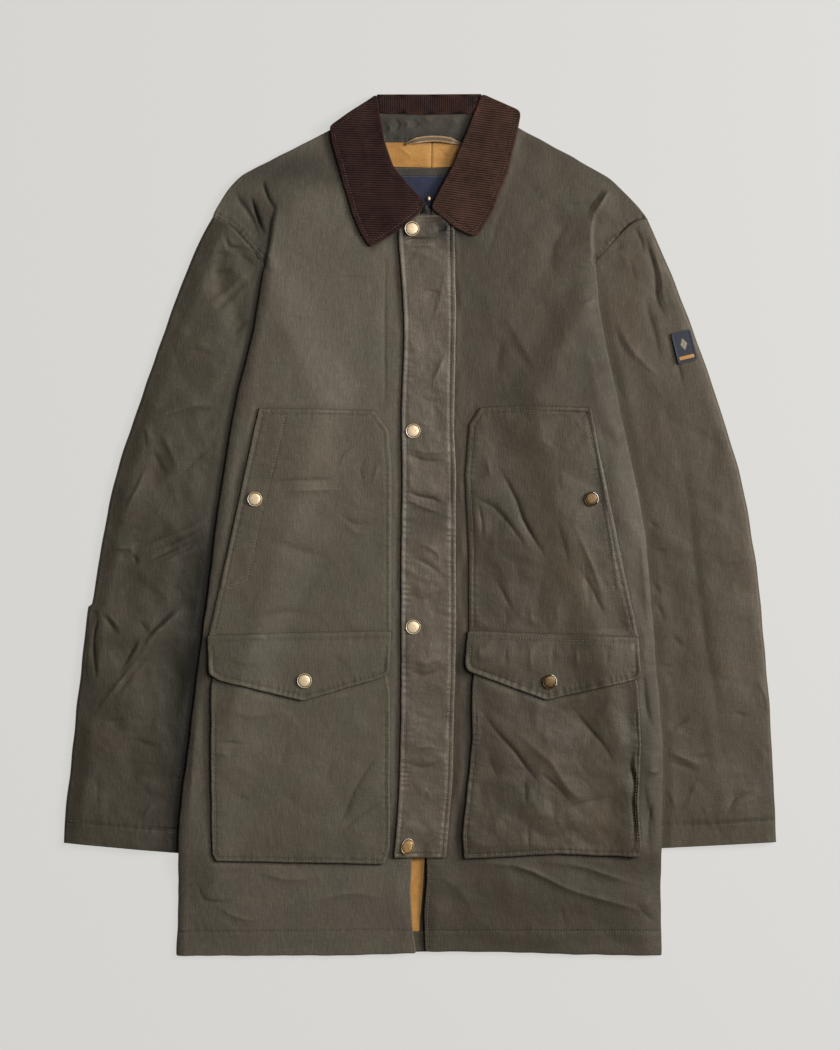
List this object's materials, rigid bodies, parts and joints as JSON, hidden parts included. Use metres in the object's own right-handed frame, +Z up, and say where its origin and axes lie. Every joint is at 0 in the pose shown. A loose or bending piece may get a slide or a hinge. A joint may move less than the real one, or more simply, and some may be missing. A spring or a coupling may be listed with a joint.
{
  "type": "waxed cotton jacket laid flat",
  "caption": "Thigh-length waxed cotton jacket lying flat and closed, with a corduroy collar, storm flap over a zip, hand and bellows pockets and long sleeves.",
  "frame": {"origin": "centre of the jacket's outline, on the surface it lies on", "axes": "+Y from hem to collar, +Z up from the surface, +X towards the wearer's left sleeve"},
  "size_m": [0.728, 0.88, 0.0224],
  "materials": {
    "waxed_cotton": "dark olive waxed cotton twill, dull wax sheen, mottled by wear",
    "waxed_facing": "dark olive cotton facing, flat",
    "corduroy": "dark brown corduroy, narrow wales",
    "lining": "mustard cotton lining",
    "label": "bare navy woven label",
    "loop": "tan and olive hanger tape",
    "zip": "dark zip chain and tape",
    "snap_brass": "antique brass",
    "patch": null
  },
  "bodies": {
    "root": {"back": "waxed_cotton", "cargo_pocket_left": "waxed_cotton", "cargo_pocket_right": "waxed_cotton", "collar_crest": "corduroy", "collar_fall_back": "corduroy", "collar_leaf_left": "corduroy", "collar_leaf_right": "corduroy", "collar_stand": "waxed_facing", "front_left": "waxed_cotton", "front_right": "waxed_cotton", "hand_pocket_left": "waxed_cotton", "hand_pocket_right": "waxed_cotton", "hanger_loop": "loop", "hem_facing": "waxed_facing", "hem_lining": "lining", "neck_facing": "waxed_facing", "neck_label": "label", "neck_lining": "lining", "pocket_flap_left": "waxed_cotton", "pocket_flap_right": "waxed_cotton", "sleeve_left": "waxed_cotton", "sleeve_patch": "patch", "sleeve_right": "waxed_cotton", "snap_flap_left": "snap_brass", "snap_flap_right": "snap_brass", "snap_hand_left": "snap_brass", "snap_hand_right": "snap_brass", "snap_storm_1": "snap_brass", "snap_storm_2": "snap_brass", "snap_storm_3": "snap_brass", "snap_storm_4": "snap_brass", "storm_flap": "waxed_cotton", "zip_chain": "zip", "zip_slider": "snap_brass"}
  },
  "joints": []
}
